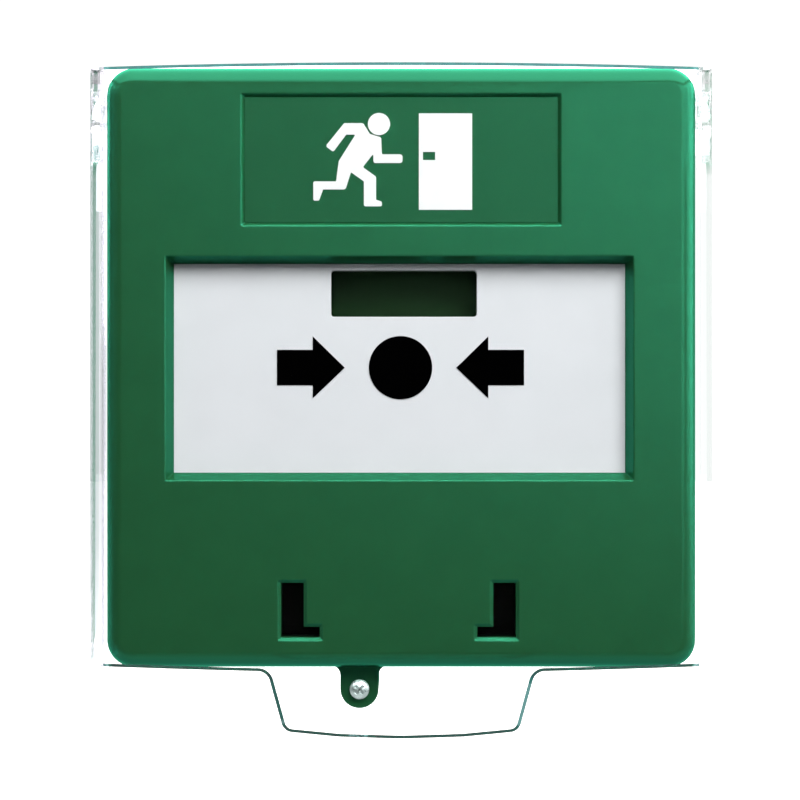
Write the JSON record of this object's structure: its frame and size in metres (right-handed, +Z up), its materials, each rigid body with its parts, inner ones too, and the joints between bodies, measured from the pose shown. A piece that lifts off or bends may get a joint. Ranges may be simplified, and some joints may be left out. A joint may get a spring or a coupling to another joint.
{
  "type": "manual call point",
  "caption": "surface-mounted resettable manual call point: green housing, white press element with indicator slot, exit label and hinged clear flip-up cover",
  "frame": {"origin": "centre of the back face of the back box, on the wall plane, midway between the two wall fixing holes", "axes": "+Z up, -Y out of the wall towards the person, +X to the right seen from the front"},
  "size_m": [0.0912, 0.056, 0.0981],
  "materials": {
    "housing_green": "moulded ABS, lightly glossy",
    "chassis_green": "moulded ABS, matt",
    "label_green": "printed film, satin",
    "print_white": "white printed film",
    "element_white": "moulded ABS, satin",
    "print_black": "black print",
    "spring_steel": "drawn spring wire",
    "zinc_screw": "zinc plated steel",
    "flag_yellow": "moulded, matt",
    "slider_black": "acetal, matt",
    "switch_black": "moulded phenolic",
    "switch_red": "moulded",
    "plunger_ivory": "acetal",
    "lever_steel": "stainless strip",
    "brass": "machined and stamped",
    "board_green": "glass epoxy laminate under solder mask",
    "terminal_green": "moulded polyamide",
    "pin_tin": "tinned",
    "cover_clear": "clear polycarbonate, polished"
  },
  "bodies": {
    "housing": {"back_box": "housing_green", "lug_insert": "brass"},
    "front_unit": {"front_bezel": "housing_green", "exit_label": "label_green", "exit_pictogram": "print_white", "inner_chassis": "chassis_green", "chassis_screws": "zinc_screw", "element_springs": "spring_steel", "slider_springs": "spring_steel", "switch_cases": "switch_black", "switch_lids": "switch_red", "switch_terminals": "brass", "circuit_board": "board_green", "board_screws": "zinc_screw", "terminal_block": "terminal_green", "terminal_clamps": "brass", "terminal_screws": "zinc_screw", "terminal_pins": "pin_tin"},
    "press_element": {"element_plate": "element_white", "element_print": "print_black"},
    "flag": {"indicator_flag": "flag_yellow"},
    "slider": {"reset_slider": "slider_black"},
    "plungers": {"switch_plungers": "plunger_ivory"},
    "levers": {"switch_levers": "lever_steel"},
    "flip_cover": {"clear_cover": "cover_clear"},
    "lock_screw": {"locking_screw": "zinc_screw"}
  },
  "joints": [
    {"name": "front_opening", "type": "hinge", "parent": "housing", "child": "front_unit", "pos_m": [0, -0.031, 0.0444], "axis": [-1, 0, 0], "range_deg": [0, 35]},
    {"name": "cover_flip", "type": "hinge", "parent": "front_unit", "child": "flip_cover", "pos_m": [0, -0.038, 0.0397], "axis": [-1, 0, 0], "range_deg": [0, 110]},
    {"name": "element_press", "type": "slide", "parent": "front_unit", "child": "press_element", "axis": [0, 1, 0], "range_m": [0, 0.0025], "stiffness_N_per_m": 1500, "deforming": ["element_springs"]},
    {"name": "flag_drop", "type": "slide", "parent": "front_unit", "child": "flag", "axis": [0, 0, -1], "range_m": [0, 0.0083]},
    {"name": "lever_swing", "type": "hinge", "parent": "front_unit", "child": "levers", "pos_m": [-0.011, -0.0324, 0], "axis": [0, 0, 1], "range_deg": [0, 8.9]},
    {"name": "plunger_travel", "type": "slide", "parent": "front_unit", "child": "plungers", "axis": [0, 1, 0], "range_m": [0, 0.00086]},
    {"name": "reset_lift", "type": "slide", "parent": "front_unit", "child": "slider", "axis": [0, 0, 1], "range_m": [0, 0.0035], "stiffness_N_per_m": 600, "deforming": ["slider_springs"]},
    {"name": "lock_screw_out", "type": "slide", "parent": "front_unit", "child": "lock_screw", "axis": [0, -1, 0], "range_m": [0, 0.0045]}
  ],
  "couplings": [
    {"joint": "flag_drop", "follows": "element_press", "ratio": 3.2},
    {"joint": "lever_swing", "follows": "element_press", "rad_per_m": 60},
    {"joint": "plunger_travel", "follows": "element_press", "ratio": 0.328}
  ]
}
